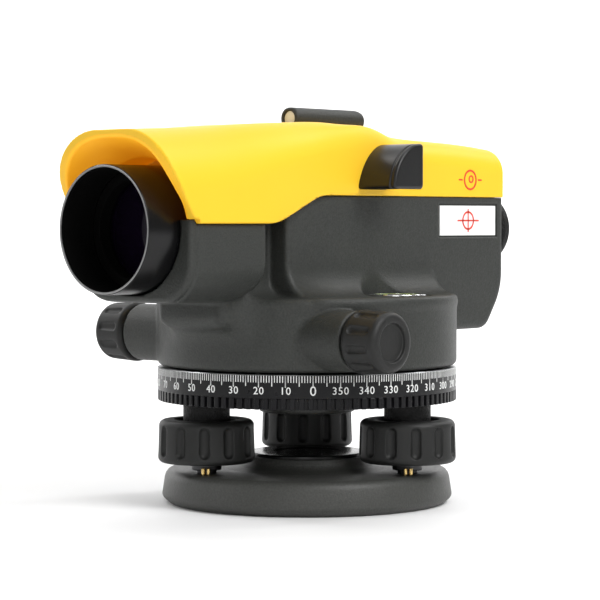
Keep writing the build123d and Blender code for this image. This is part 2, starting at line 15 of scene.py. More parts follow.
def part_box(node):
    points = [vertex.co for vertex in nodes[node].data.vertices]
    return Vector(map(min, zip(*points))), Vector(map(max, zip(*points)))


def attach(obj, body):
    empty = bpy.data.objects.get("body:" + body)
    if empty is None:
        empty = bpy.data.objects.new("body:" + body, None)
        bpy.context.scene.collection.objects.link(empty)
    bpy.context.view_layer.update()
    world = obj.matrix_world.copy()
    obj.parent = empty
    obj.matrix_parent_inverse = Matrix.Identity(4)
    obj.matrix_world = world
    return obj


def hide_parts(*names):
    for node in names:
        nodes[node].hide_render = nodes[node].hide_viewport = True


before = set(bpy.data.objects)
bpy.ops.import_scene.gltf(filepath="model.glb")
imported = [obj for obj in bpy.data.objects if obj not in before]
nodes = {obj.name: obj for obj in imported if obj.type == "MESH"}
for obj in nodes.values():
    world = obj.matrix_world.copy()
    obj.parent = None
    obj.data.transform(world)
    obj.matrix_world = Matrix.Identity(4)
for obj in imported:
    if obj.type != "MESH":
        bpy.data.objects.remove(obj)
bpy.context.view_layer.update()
MM = 0.001


def span(node):
    """Lowest and highest corner of a node, in millimetres."""
    low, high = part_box(node)
    return np.array(low) / MM, np.array(high) / MM


housing_low, housing_high = span("main_housing")
cover_low, cover_high = span("top_cover")
hood_low, hood_high = span("objective_tube")
ring_low, ring_high = span("circle_ring")
base_high = span("base_plate")[1]
axis_z = (hood_low[2] + hood_high[2]) / 2
print("housing", housing_low.round(1), housing_high.round(1), "telescope axis", axis_z.round(1))

# %% [markdown]
# ## Camera, light and floor
# A long lens from far away keeps upright edges upright. Its focal length is given in
# units of which the frame is 600 wide, and turned into millimetres on a 36 mm sensor.

# %% Camera
VIEW_AZIMUTH = radians(-48.0)
VIEW_DISTANCE = 0.851
VIEW_HEIGHT = 0.1026
FOCAL_UNITS = 2314.0
FRAME_UNITS = 600.0

camera_data = bpy.data.cameras.new("view")
camera_data.sensor_width = 36.0
camera_data.lens = FOCAL_UNITS / FRAME_UNITS * 36.0
camera_data.clip_start = 0.01
camera = bpy.data.objects.new("view", camera_data)
bpy.context.scene.collection.objects.link(camera)
right = Vector((cos(VIEW_AZIMUTH), sin(VIEW_AZIMUTH), 0))
camera.location = (sin(VIEW_AZIMUTH) * VIEW_DISTANCE, -cos(VIEW_AZIMUTH) * VIEW_DISTANCE, VIEW_HEIGHT)
aim = Vector((0, 0, VIEW_HEIGHT - VIEW_DISTANCE * 78 / FOCAL_UNITS)) - right * (VIEW_DISTANCE * 7 / FOCAL_UNITS)
look = (aim - camera.location).to_track_quat("-Z", "Y")
camera.rotation_euler = look.to_euler()
bpy.context.scene.camera = camera
print("lens", round(camera_data.lens, 1), "mm")


# %% [markdown]
# The strongest light is large and stands high at the front right. A weak one low in front draws
# the upright edges, and one at the left keeps the dark side readable. Two more light only the
# sweep of the floor behind.

# %% Lights
def area_light(name, place, size, power, tint=(1, 1, 1)):
    """Square soft light that looks at the instrument."""
    data = bpy.data.lights.new(name, "AREA")
    data.size = size
    data.energy = power
    data.color = tint
    lamp = bpy.data.objects.new(name, data)
    lamp.location = place
    lamp.rotation_euler = (Vector((0, 0, 0.08)) - Vector(place)).to_track_quat("-Z", "Y").to_euler()
    bpy.context.scene.collection.objects.link(lamp)
    return lamp


def across_view(side, back, up):
    """Point given by its distance to the right of the view, behind the piece, and its height."""
    ahead = Vector((-sin(VIEW_AZIMUTH), cos(VIEW_AZIMUTH), 0))
    return right * side + ahead * back + Vector((0, 0, up))


area_light("front_right", across_view(0.8, -0.8, 1.05), 0.8, 18.0)
area_light("front_low", across_view(-0.1, -1.25, 0.3), 0.5, 1.6)
area_light("key_left", across_view(-1.25, -0.3, 0.5), 0.5, 2.6)
area_light("top", across_view(0.0, 0.2, 1.3), 0.9, 4.5)
area_light("rim_left", across_view(-0.9, 0.7, 0.35), 0.4, 1.5)
for side in (-1.3, 1.3):
    lamp = area_light(f"backdrop_{side}", across_view(side, 0.9, 1.5), 0.8, 38.0)
    lamp.rotation_euler = (across_view(side * 0.3, 2.6, 0.5) - lamp.location).to_track_quat("-Z", "Y").to_euler()

world = bpy.data.worlds.new("studio")
world.use_nodes = True
world.node_tree.nodes["Background"].inputs["Color"].default_value = (1, 1, 1, 1)
world.node_tree.nodes["Background"].inputs["Strength"].default_value = 0.25
bpy.context.scene.world = world
bpy.context.scene.view_settings.view_transform = "Standard"

# %% [markdown]
# ## Shader arithmetic
# A pattern is a formula. Wrapping a socket in a small class lets the formula be written as
# one: every operator adds its Math node.


# %% Signal and Finish
class Signal:
    """One socket; arithmetic on it adds Math nodes."""

    def __init__(self, tree, socket):
        self.tree = tree
        self.socket = socket

    def math(self, operation, *values):
        node = self.tree.nodes.new("ShaderNodeMath")
        node.operation = operation
        for slot, value in zip(node.inputs, values):
            if isinstance(value, Signal):
                self.tree.links.new(value.socket, slot)
            else:
                slot.default_value = value
        return Signal(self.tree, node.outputs[0])

    def __add__(self, other):
        return self.math("ADD", self, other)

    def __sub__(self, other):
        return self.math("SUBTRACT", self, other)

    def __rsub__(self, other):
        return self.math("SUBTRACT", other, self)

    def __mul__(self, other):
        return self.math("MULTIPLY", self, other)

    def __truediv__(self, other):
        return self.math("DIVIDE", self, other)

    def above(self, edge, softness):
        """Soft step from 0 to 1 at an edge."""
        step = (self - edge) / softness + 0.5
        return step.math("MINIMUM", step.math("MAXIMUM", step, 0.0), 1.0)

    __radd__ = __add__
    __rmul__ = __mul__


class Finish:
    """A material under construction round one Principled shader."""

    def __init__(self, name, colour, roughness, **fixed):
        self.material = bpy.data.materials.new(name)
        self.material.use_nodes = True
        self.tree = self.material.node_tree
        self.shader = self.tree.nodes["Principled BSDF"]
        self.shader.inputs["Base Color"].default_value = (*colour, 1)
        self.shader.inputs["Roughness"].default_value = roughness
        for socket, value in fixed.items():
            self.shader.inputs[socket.replace("_", " ")].default_value = value
        self.colour = colour
        self.roughness = roughness
        self.place = self.add("ShaderNodeTexCoord", out="Object")

    def add(self, kind, settings=None, inputs=None, out=0):
        """Any node: its settings first, then values or links of its sockets."""
        node = self.tree.nodes.new(kind)
        for key, value in (settings or {}).items():
            setattr(node, key, value)
        for key, value in (inputs or {}).items():
            if isinstance(value, Signal):
                self.tree.links.new(value.socket, node.inputs[key])
            else:
                node.inputs[key].default_value = value
        return Signal(self.tree, node.outputs[out])

    def feed(self, socket, signal):
        self.tree.links.new(signal.socket, self.shader.inputs[socket])

    def noise(self, scale, detail=2.0, out="Fac"):
        fields = {"Vector": self.place, "Scale": scale, "Detail": detail}
        return self.add("ShaderNodeTexNoise", inputs=fields, out=out)

    def mottle(self, scale, amount, detail=3.0):
        """Lets the colour drift by a small share over the surface."""
        drift = self.noise(scale, detail)
        dark = tuple(c * (1 - amount) for c in self.colour) + (1,)
        light = tuple(min(c * (1 + amount), 1) for c in self.colour) + (1,)
        mixed = self.add("ShaderNodeMix", {"data_type": "RGBA"}, {"Factor": drift, 6: dark, 7: light}, out=2)
        self.feed("Base Color", mixed)
        return mixed

    def grain(self, scale, strength, depth, detail=2.0):
        """Fine bump, as of powder coat or moulded plastic."""
        bump = self.add(
            "ShaderNodeBump",
            inputs={"Height": self.noise(scale, detail), "Strength": strength, "Distance": depth},
        )
        self.feed("Normal", bump)

    def uneven_gloss(self, scale, amount):
        self.feed("Roughness", self.noise(scale, 4.0) * amount + (self.roughness - amount / 2))


print("shader kit ready")

# %% [markdown]
# ## Finishes
# The housing is cast metal under a fine-textured dark grey coat. The cover is a sunny yellow
# satin moulding with a faint orange-peel. Knobs are a soft black rubber-like plastic, the
# hood and the level viewer are polished black, and small parts are brass or steel.

# %% Cover, housing and plastics
yellow = Finish("cover_yellow", (0.92, 0.55, 0.028), 0.46, Specular_IOR_Level=0.22)
yellow.mottle(14.0, 0.03)
yellow.uneven_gloss(40.0, 0.08)
yellow.grain(900.0, 0.05, 0.0002)
# Painted light: the inner face of the front visor, found by its facing and position, glows orange through emission.
spot = [yellow.add("ShaderNodeSeparateXYZ", inputs={"Vector": yellow.place}, out=axis) for axis in "XYZ"]
facing = yellow.add("ShaderNodeTexCoord", out="Normal")
tilt = [yellow.add("ShaderNodeSeparateXYZ", inputs={"Vector": facing}, out=axis) for axis in "XYZ"]
outward = spot[1] * tilt[1] + (spot[2] - axis_z * MM) * tilt[2]
painted_visor_light = (0.0 - outward).above(0.006, 0.012) * (0.0 - spot[0]).above(0.068, 0.01)
yellow.feed("Emission Color", yellow.add(
    "ShaderNodeMix", {"data_type": "RGBA"}, {"Factor": painted_visor_light, 6: (0, 0, 0, 1), 7: (0.34, 0.075, 0.0, 1)}, out=2))
yellow.shader.inputs["Emission Strength"].default_value = 1.0

coat = Finish("powder_grey", (0.03, 0.032, 0.029), 0.5, Specular_IOR_Level=0.35)
coat.mottle(1500.0, 0.45, 1.0)
coat.uneven_gloss(700.0, 0.16)
coat.grain(1700.0, 0.42, 0.00035)

dark_coat = Finish("powder_dark", (0.048, 0.049, 0.045), 0.48, Specular_IOR_Level=0.4)
dark_coat.mottle(1500.0, 0.4, 1.0)
dark_coat.uneven_gloss(700.0, 0.14)
dark_coat.grain(1700.0, 0.4, 0.00032)

soft_black = Finish("soft_black", (0.011, 0.0113, 0.0108), 0.5, Specular_IOR_Level=0.35)
soft_black.mottle(60.0, 0.12)
soft_black.uneven_gloss(120.0, 0.12)
soft_black.grain(1500.0, 0.2, 0.0002)

grained_rubber = Finish("grained_rubber", (0.008, 0.008, 0.008), 0.5, Specular_IOR_Level=0.25)
grained_rubber.uneven_gloss(500.0, 0.2)
grained_rubber.grain(1300.0, 0.7, 0.0006)

polished_black = Finish("polished_black", (0.003, 0.003, 0.0033), 0.24, Specular_IOR_Level=0.3)
polished_black.uneven_gloss(25.0, 0.06)
polished_black.grain(200.0, 0.02, 0.0002)

satin_black = Finish("satin_black", (0.008, 0.008, 0.0082), 0.36, Specular_IOR_Level=0.4)
satin_black.uneven_gloss(60.0, 0.08)
satin_black.grain(1200.0, 0.1, 0.0002)

matt_black = Finish("matt_black", (0.0025, 0.0025, 0.0025), 0.65, Specular_IOR_Level=0.06)
matt_black.grain(900.0, 0.3, 0.0002)

white_paint = Finish("white_paint", (0.82, 0.83, 0.82), 0.45)
white_paint.mottle(400.0, 0.04)

label_white = Finish("label_white", (0.86, 0.87, 0.86), 0.3)
label_white.mottle(120.0, 0.02)

sign_red = Finish("sign_red", (0.72, 0.045, 0.02), 0.4)
sign_red.mottle(300.0, 0.05)

cream = Finish("window_cream", (0.8, 0.79, 0.68), 0.3)
cream.mottle(300.0, 0.06)
print("plastic finishes", len(bpy.data.materials))


# %% [markdown]
# Turned and ground metals differ only in colour and gloss, so one function makes them all.

# %% Metals
def metal(name, colour, roughness, scale=500.0):
    """Turned or ground metal with an uneven gloss."""
    made = Finish(name, colour, roughness, Metallic=1.0)
    made.mottle(scale / 8, 0.06)
    made.uneven_gloss(scale, 0.12)
    made.grain(scale * 2, 0.08, 0.0001)
    return made


dark_steel = metal("blackened_steel", (0.06, 0.06, 0.062), 0.4)
steel = metal("turned_steel", (0.62, 0.62, 0.63), 0.26)
bright_steel = metal("bright_steel", (0.8, 0.81, 0.82), 0.14)
brass = metal("brass", (0.83, 0.6, 0.24), 0.2)
bronze = metal("bronze", (0.55, 0.36, 0.18), 0.34)
# Light grey metal for the hood's lip: a painted highlight of the lip edge.
lip_highlight_metal = metal("painted_lip_highlight", (0.3, 0.3, 0.3), 0.3)
aluminium = metal("aluminium", (0.7, 0.71, 0.73), 0.34)
magnet = metal("magnet_iron", (0.18, 0.18, 0.19), 0.5)
anodised = Finish("anodised_black", (0.016, 0.016, 0.018), 0.38, Specular_IOR_Level=0.5)
anodised.uneven_gloss(300.0, 0.1)
anodised.grain(800.0, 0.06, 0.0001)

# %% [markdown]
# The graduated ring is anodised black. Its top face and bevel are made light grey metal, a painted
# highlight of the top. That band is found by height alone, so one material does both.

# %% Ring, glass and liquid
dial_black = Finish("dial_black", (0.006, 0.006, 0.007), 0.34, Specular_IOR_Level=0.2)
height = dial_black.add("ShaderNodeSeparateXYZ", inputs={"Vector": dial_black.place}, out="Z")
# Painted highlight: the top 0.2 mm of the ring turns light grey and metallic.
painted_top_highlight = height.above(ring_high[2] * MM - 0.0002, 0.0001)
ring_colour_and_highlight = dial_black.add(
    "ShaderNodeMix", {"data_type": "RGBA"},
    {"Factor": painted_top_highlight, 6: (0.006, 0.006, 0.007, 1), 7: (0.4, 0.41, 0.42, 1)}, out=2,
)
dial_black.feed("Base Color", ring_colour_and_highlight)
dial_black.feed("Metallic", painted_top_highlight * 0.9)
dial_black.feed("Roughness", dial_black.noise(300.0) * 0.1 + 0.24)

glass = Finish("lens_glass", (0.97, 0.98, 1.0), 0.02, Transmission_Weight=1.0, IOR=1.52)
glass.mottle(40.0, 0.01)
coated = Finish("coated_lens", (0.004, 0.002, 0.007), 0.06, Specular_IOR_Level=0.35, Coat_Weight=0.15)
coated.shader.inputs["Coat Tint"].default_value = (0.75, 0.35, 0.95, 1)
coated.mottle(30.0, 0.3)
liquid = Finish("level_liquid", (0.55, 0.72, 0.12), 0.08)
liquid.mottle(60.0, 0.05)
bubble_white = Finish("bubble_white", (0.88, 0.93, 0.7), 0.06)
bubble_white.mottle(90.0, 0.05)
floor_white = Finish("floor_white", (0.9, 0.9, 0.9), 0.7)
floor_white.mottle(3.0, 0.01)
print("all finishes", len(bpy.data.materials))

# %% [markdown]
# A floor that curves up into a wall has no horizon line. It is swept up behind the main view.

# %% The floor, swept up behind the piece
profile = [(-3.0, 0.0), (1.6, 0.0)]
profile += [(1.6 + 0.8 * sin(radians(a)), 0.8 - 0.8 * cos(radians(a))) for a in range(6, 91, 6)]
profile += [(2.4, 3.0)]
corners = [across_view(side, back, up) for back, up in profile for side in (-4.0, 4.0)]
faces = [(2 * i, 2 * i + 1, 2 * i + 3, 2 * i + 2) for i in range(len(profile) - 1)]
floor_mesh = bpy.data.meshes.new("studio_floor")
floor_mesh.from_pydata([tuple(c) for c in corners], [], faces)
floor_mesh.shade_smooth()
floor_mesh.materials.append(floor_white.material)
floor = bpy.data.objects.new("studio_floor", floor_mesh)
bpy.context.scene.collection.objects.link(floor)

# %% [markdown]
# ## Two ways to make a turned or cast shape
# A turned piece is an outline spun round an axis. A cast or moulded piece is easier as a
# distance field: simple forms are joined and cut with soft edges, as the fillets of a real
# casting are, and the surface is then drawn where the distance is zero.


# %% Mesh helpers
def publish(name, mesh, finish, body, replaces=()):
    """Makes the object, and ties it to its body and to the nodes it stands for."""
    piece = bpy.data.objects.new(name, mesh)
    bpy.context.scene.collection.objects.link(piece)
    if finish:
        mesh.materials.clear()
        mesh.materials.append(finish.material)
    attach(piece, body)
    if replaces:
        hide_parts(*replaces)
    return piece


def soften(points):
    """Rounds each outline corner (radius, height, fillet) that asks for a fillet."""
    result = []
    count = len(points)
    for i, point in enumerate(points):
        here = Vector(point[:2])
        fillet = point[2] if len(point) > 2 else 0
        if not fillet:
            result.append(here)
            continue
        before = (Vector(points[i - 1][:2]) - here).normalized()
        after = (Vector(points[(i + 1) % count][:2]) - here).normalized()
        half = before.angle(after) / 2
        reach = fillet / np.tan(half)
        centre = here + (before + after).normalized() * (fillet / sin(half))
        start = here + before * reach - centre
        finish = here + after * reach - centre
        for step in range(5):
            result.append(centre + start.slerp(finish, step / 4).normalized() * fillet)
    return result


def turn(outline, place=None, steps=128):
    """Spins a closed outline round Z; place then lays the piece where it belongs."""
    corners = soften(outline)
    mesh = bpy.data.meshes.new("turned")
    build = bmesh.new()
    rings = []
    for i in range(steps):
        angle = 2 * pi * i / steps
        rings.append([build.verts.new((p[0] * cos(angle), p[0] * sin(angle), p[1])) for p in corners])
    for i in range(steps):
        here, there = rings[i], rings[(i + 1) % steps]
        for j in range(len(corners)):
            k = (j + 1) % len(corners)
            if corners[j][0] > 1e-6 or corners[k][0] > 1e-6:
                build.faces.new((here[j], there[j], there[k], here[k]))
    bmesh.ops.remove_doubles(build, verts=build.verts, dist=1e-5)
    bmesh.ops.dissolve_degenerate(build, edges=build.edges, dist=1e-6)
    bmesh.ops.recalc_face_normals(build, faces=build.faces)
    build.to_mesh(mesh)
    build.free()
    mesh.transform(Matrix.Scale(MM, 4) @ (place or Matrix()))
    mesh.shade_smooth()
    mesh.set_sharp_from_angle(angle=radians(32))
    return mesh


def shift(x, y, z):
    return Matrix.Translation((x, y, z))


ALONG_X = Matrix.Rotation(pi / 2, 4, "Y")
ALONG_Y = Matrix.Rotation(-pi / 2, 4, "X")
ALONG_MINUS_Y = Matrix.Rotation(pi / 2, 4, "X")
print("turning kit ready")


# %% [markdown]
# A field gives each point its distance to a form, negative inside. Joining is a minimum and
# cutting a maximum; a soft version of both leaves the fillets that a casting has.

# %% Distance fields
def box_field(x, y, z, low, high, edge):
    """Box with rounded edges."""
    outside = []
    for value, a, b in ((x, low[0], high[0]), (y, low[1], high[1]), (z, low[2], high[2])):
        outside.append(np.abs(value - (a + b) / 2) - (b - a) / 2 + edge)
    deep = np.minimum(np.maximum.reduce(outside), 0)
    far = np.sqrt(sum(np.maximum(q, 0) ** 2 for q in outside))
    return far + deep - edge


def rod_field(radial, along, radius, low, high, edge):
    """Cylinder with rounded rims, from its radial and axial coordinates."""
    side = radial - radius + edge
    end = np.abs(along - (low + high) / 2) - (high - low) / 2 + edge
    return np.minimum(np.maximum(side, end), 0) + np.hypot(np.maximum(side, 0), np.maximum(end, 0)) - edge


def join(a, b, soft):
    """Union with a fillet."""
    blend = np.maximum(soft - np.abs(a - b), 0)
    return np.minimum(a, b) - blend ** 2 / (4 * soft)


def keep(a, b, soft):
    """Intersection with a rounded edge."""
    return -join(-a, -b, soft)


def cut(a, b, soft):
    """Takes b away from a."""
    return keep(a, -b, soft)


def ramp(value, start, end):
    """Smooth step from 0 to 1."""
    t = np.clip((value - start) / (end - start), 0, 1)
    return t * t * (3 - 2 * t)


# %% [markdown]
# The surface is drawn with a surface net: each grid cell that the surface crosses gets one
# point, and neighbouring points are joined by quads. The points are then pulled onto the
# exact surface along the field's slope, which also gives true normals for shading.


# %% Surface net
def slope(field, p, step=0.03):
    """Direction of steepest rise of the field at each point."""
    parts = []
    for axis in range(3):
        ahead, behind = p.copy(), p.copy()
        ahead[:, axis] += step
        behind[:, axis] -= step
        parts.append((field(*ahead.T) - field(*behind.T)) / (2 * step))
    return np.stack(parts, axis=1)


def skin(field, low, high, step, place=None):
    """Mesh of the surface where the field is zero."""
    axes = [np.arange(a - 2 * step - 1.2, b + 2 * step + 1.2, step) for a, b in zip(low, high)]
    value = field(*np.meshgrid(*axes, indexing="ij")).astype(np.float32)
    inside = value < 0
    corners = sum(
        inside[i:i - 1 or None, j:j - 1 or None, k:k - 1 or None].astype(np.int8)
        for i in (0, 1) for j in (0, 1) for k in (0, 1)
    )
    mixed = (corners > 0) & (corners < 8)
    number = np.full(mixed.shape, -1)
    number[mixed] = np.arange(mixed.sum())
    cells = np.argwhere(mixed)
    points = np.stack([axes[a][cells[:, a]] + step / 2 for a in range(3)], axis=1)
    quads = []
    for axis in range(3):
        first = [slice(None)] * 3
        second = [slice(None)] * 3
        first[axis], second[axis] = slice(0, -1), slice(1, None)
        change = inside[tuple(first)] != inside[tuple(second)]
        edges = np.argwhere(change)
        u, v = (axis + 1) % 3, (axis + 2) % 3
        edges = edges[(edges[:, u] > 0) & (edges[:, v] > 0)]
        edges = edges[(edges[:, u] < mixed.shape[u]) & (edges[:, v] < mixed.shape[v])]
        around = []
        for du, dv in ((1, 1), (0, 1), (0, 0), (1, 0)):
            cell = edges.copy()
            cell[:, u] -= du
            cell[:, v] -= dv
            around.append(number[tuple(cell.T)])
        quad = np.stack(around, axis=1)
        leaving = inside[tuple(edges.T)]
        quad[~leaving] = quad[~leaving][:, ::-1]
        quads.append(quad)
    for _ in range(4):
        grade = slope(field, points)
        size = np.maximum((grade ** 2).sum(axis=1), 0.05)
        move = (field(*points.T) / size)[:, None] * grade
        points -= np.clip(move, -step * 0.6, step * 0.6)
    normals = slope(field, points)
    normals /= np.maximum(np.linalg.norm(normals, axis=1), 1e-9)[:, None]
    matrix = np.array(place or Matrix())
    points = points @ matrix[:3, :3].T + matrix[:3, 3]
    normals = normals @ matrix[:3, :3].T
    mesh = bpy.data.meshes.new("skin")
    mesh.from_pydata((points * MM).tolist(), [], np.concatenate(quads).tolist())
    mesh.validate()
    mesh.shade_smooth()
    if len(mesh.vertices) == len(normals):
        mesh.normals_split_custom_set_from_vertices(normals.tolist())
    return mesh


print("field kit ready")

# %% [markdown]
# ## Geometry Nodes: what repeats round an axis
# Degree marks, grip lugs and ribs are one small shape repeated on a circle. One node tree
# does it for all of them, with the count, the radius and the first angle as named inputs.

# %% The repeating tree
repeat = bpy.data.node_groups.new("repeat_around", "GeometryNodeTree")
for label, kind, start in (("Geometry", "NodeSocketGeometry", None), ("Count", "NodeSocketInt", 12),
                           ("Radius", "NodeSocketFloat", 10.0), ("Start", "NodeSocketFloat", 0.0),
                           ("Material", "NodeSocketMaterial", None)):
    socket = repeat.interface.new_socket(label, in_out="INPUT", socket_type=kind)
    if start is not None:
        socket.default_value = start
repeat.interface.new_socket("Geometry", in_out="OUTPUT", socket_type="NodeSocketGeometry")


def geo(kind, **settings):
    node = repeat.nodes.new(kind)
    for key, value in settings.items():
        setattr(node, key, value)
    return node


source = geo("NodeGroupInput")
result = geo("NodeGroupOutput")
line = geo("GeometryNodeMeshLine")
index = geo("GeometryNodeInputIndex")
turn_share = geo("ShaderNodeMath", operation="DIVIDE")
turn_angle = geo("ShaderNodeMath", operation="MULTIPLY_ADD")
spin = geo("ShaderNodeCombineXYZ")
reach = geo("ShaderNodeCombineXYZ")
swing = geo("ShaderNodeVectorRotate", rotation_type="Z_AXIS")
seat = geo("GeometryNodeSetPosition")
scatter = geo("GeometryNodeInstanceOnPoints")
real = geo("GeometryNodeRealizeInstances")
paint = geo("GeometryNodeSetMaterial")
turn_angle.inputs[1].default_value = 2 * pi
wires = (
    (source.outputs["Count"], line.inputs["Count"]), (index.outputs[0], turn_share.inputs[0]),
    (source.outputs["Count"], turn_share.inputs[1]), (turn_share.outputs[0], turn_angle.inputs[0]),
    (source.outputs["Start"], turn_angle.inputs[2]), (turn_angle.outputs[0], spin.inputs["Z"]),
    (source.outputs["Radius"], reach.inputs["X"]), (reach.outputs[0], swing.inputs["Vector"]),
    (turn_angle.outputs[0], swing.inputs["Angle"]), (line.outputs[0], seat.inputs["Geometry"]),
    (swing.outputs[0], seat.inputs["Position"]), (seat.outputs[0], scatter.inputs["Points"]),
    (source.outputs["Geometry"], scatter.inputs["Instance"]), (spin.outputs[0], scatter.inputs["Rotation"]),
    (scatter.outputs[0], real.inputs[0]), (real.outputs[0], paint.inputs["Geometry"]),
    (source.outputs["Material"], paint.inputs["Material"]), (paint.outputs[0], result.inputs[0]),
)
for start, end in wires:
    repeat.links.new(start, end)
print("tree", repeat.name, len(repeat.nodes), "nodes")


# %% [markdown]
# The unit that is repeated is a small box. The tree is evaluated at once and its result kept
# as a plain mesh.

# %% Use of the tree
def bead(size, edge):
    """Small box with bevelled edges, centred on the origin, in millimetres."""
    mesh = bpy.data.meshes.new("bead")
    build = bmesh.new()
    bmesh.ops.create_cube(build, size=1.0)
    bmesh.ops.scale(build, vec=size, verts=build.verts)
    if edge:
        bmesh.ops.bevel(build, geom=list(build.edges), offset=edge, segments=2, profile=0.5, affect="EDGES")
    build.to_mesh(mesh)
    build.free()
    return mesh


def around_axis(unit, count, radius, start, finish, place=None):
    """Repeats the unit mesh round Z, then lays the ring where it belongs."""
    holder = bpy.data.objects.new("holder", unit)
    bpy.context.scene.collection.objects.link(holder)
    modifier = holder.modifiers.new("repeat", "NODES")
    modifier.node_group = repeat
    names = {item.name: item.identifier for item in repeat.interface.items_tree if item.in_out == "INPUT"}
    modifier[names["Count"]] = count
    modifier[names["Radius"]] = float(radius)
    modifier[names["Start"]] = float(start)
    modifier[names["Material"]] = finish.material
    graph = bpy.context.evaluated_depsgraph_get()
    mesh = bpy.data.meshes.new_from_object(holder.evaluated_get(graph))
    bpy.data.objects.remove(holder)
    mesh.transform(Matrix.Scale(MM, 4) @ (place or Matrix()))
    return mesh


print("marks can be repeated")

# %% [markdown]
# ## The housing
# The casting is a round turret, a flat-sided telescope box, a rear overhang, a recessed neck
# and a front cradle that holds the objective. The shaft bosses stand out on both sides. Its
# top follows the parting line, which the cover shares, so both fields ask one function.

# %% Parting line
FRONT_LINE = cover_low[2]
REAR_LINE = housing_high[2]
LINE_X0 = -47.0
LINE_X1 = -22.5
shelf_z = span("level_bezel")[0][2] + 3.8


def parting(x):
    """Height of the joint between cover and housing."""
    slant = FRONT_LINE + (x - LINE_X0) * (REAR_LINE - FRONT_LINE) / (LINE_X1 - LINE_X0)
    return keep(join(slant, np.full_like(slant, REAR_LINE), 2.0), np.full_like(slant, FRONT_LINE), 2.0)


print("parting line", FRONT_LINE.round(1), "to", REAR_LINE.round(1))


# %% [markdown]
# A real housing of this kind is a light-alloy casting, machined where bearings and seats go.
# Here each boss and wall is one field. The wall runs into the shelf in a hollow fillet, and a
# round pocket in that fillet makes room for the circular level.

# %% Housing field
drive_low, drive_high = span("drive_bushes")
drive_x = (drive_low[0] + drive_high[0]) / 2
drive_z = (drive_low[2] + drive_high[2]) / 2
turret_r = housing_high[1]
box_half = -span("label_plate")[1][1]
rear_x = housing_high[0]
block_x = housing_low[0]
level_low, level_high = span("level_bezel")
level_x, level_y = (level_low[:2] + level_high[:2]) / 2
FLARE = 12.0
FOCUS_X = -12.0
FOCUS_Z = 98.5


def housing_field(x, y, z):
    turret = rod_field(np.hypot(x, y), z, turret_r, housing_low[2], shelf_z, 2.4)
    side = np.abs(y)
    panel = box_field(x, 0 * y, z, (-38.0, -99, 70.0), (72.0, 99, 150.0), 2.0)
    panel = keep(panel, side - box_half, 2.2)
    hollow_r = np.hypot(np.minimum(side - box_half - FLARE, 0), np.minimum(z - shelf_z - FLARE, 0))
    flare = keep(FLARE - hollow_r, np.maximum(-38.0 - x, np.abs(z - 85.0) - 12.5), 2.2)
    flare = keep(flare, x - 45.0, 5.0)
    flare = keep(flare, np.hypot(x, y) - turret_r, 1.6)
    slant = ((x - 76.3) * 14.7 - (z - 61.7) * 10.2) / 17.9
    overhang = keep(np.maximum(x - rear_x, 43.0 - x), slant, 4.0)
    overhang = keep(keep(overhang, 61.7 - z, 3.0), side - box_half, 3.0)
    neck = box_field(x, y, z, (-62.0, -16.5, 66.0), (-28.0, 16.5, 140.0), 4.0)
    lip = 0.7 * ramp(x, block_x + 3.4, block_x + 2.4)
    cradle = box_field(0 * x, y, z, (-99, -28.0, 74.5), (99, 28.0, 160.0), 15.0) + lip
    profile = box_field(x, 0 * y, z, (block_x, -99, 60.0), (-51.0, 99, 160.0), 1.4)
    rear_round = np.hypot(np.maximum(x + 63.0, 0), np.maximum(86.5 - z, 0)) - 12.0
    cradle = keep(keep(cradle, profile, 2.0), rear_round, 2.0)
    body = join(turret, neck, 9.0)
    body = join(body, np.minimum(np.minimum(panel, flare), overhang), 1.6)
    body = join(body, cradle, 1.5)
    boss = rod_field(np.hypot(x - drive_x, z - drive_z), y, 10.5, -53.0, 53.0, 0.8)
    body = join(body, boss, 1.2)
    focus_boss = rod_field(np.hypot(x - FOCUS_X, z - FOCUS_Z), y, 9.0, 0.0, 27.0, 0.8)
    body = join(body, focus_boss, 1.2)
    scoop = np.hypot(x - level_x, y - level_y) - (-level_y - box_half - 0.4)
    body = cut(body, np.maximum(scoop, shelf_z - 0.3 - z), 0.6)
    hollow = rod_field(np.hypot(x, y), z, turret_r - 3, 40.0, 71.0, 1.0)
    room = box_field(x, y, z, (-35.0, -22.0, 79.0), (83.0, 22.0, 160.0), 2.0)
    room = np.maximum(room, side - box_half + 2.6)
    bore = rod_field(np.hypot(y, z - axis_z), x, 22.4, -120.0, -54.0, 0.3)
    duct = rod_field(np.hypot(y, z - axis_z), x, 14.0, -60.0, -30.0, 0.3)
    shaft_way = rod_field(np.hypot(x - drive_x, z - drive_z), y, 5.5, -70.0, 70.0, 0.3)
    eye_way = rod_field(np.hypot(y, z - axis_z), x, 11.4, 70.0, 99.0, 0.3)
    focus_way = rod_field(np.hypot(x - FOCUS_X, z - FOCUS_Z), y, 2.4, 5.0, 40.0, 0.3)
    for hole in (hollow, room, bore, duct, shaft_way, eye_way, focus_way):
        body = cut(body, hole, 0.3)
    body = keep(body, z - parting(x) - 1.5 * ramp(x, -85.0, -86.0) + 0.06, 0.25)
    sunk = box_field(x, y, z, (46.3, -box_half - 9, 96.9), (81.8, -box_half + 0.7, 109.5), 0.3)
    return cut(body, sunk, 0.3)


HOUSING_STEP = 0.95
mesh = skin(housing_field, housing_low, housing_high, HOUSING_STEP)
publish("housing_casting", mesh, coat, "housing", ("main_housing",))
print("housing faces", len(mesh.polygons))

# %% [markdown]
# ## The yellow cover
# The cover is one thin moulding. Its section is an arch that is wide and round over the
# objective and narrower and squarer behind; the top line climbs to the sight and falls to
# the eyepiece. In front it ends in a slanted visor with a bevelled lip.


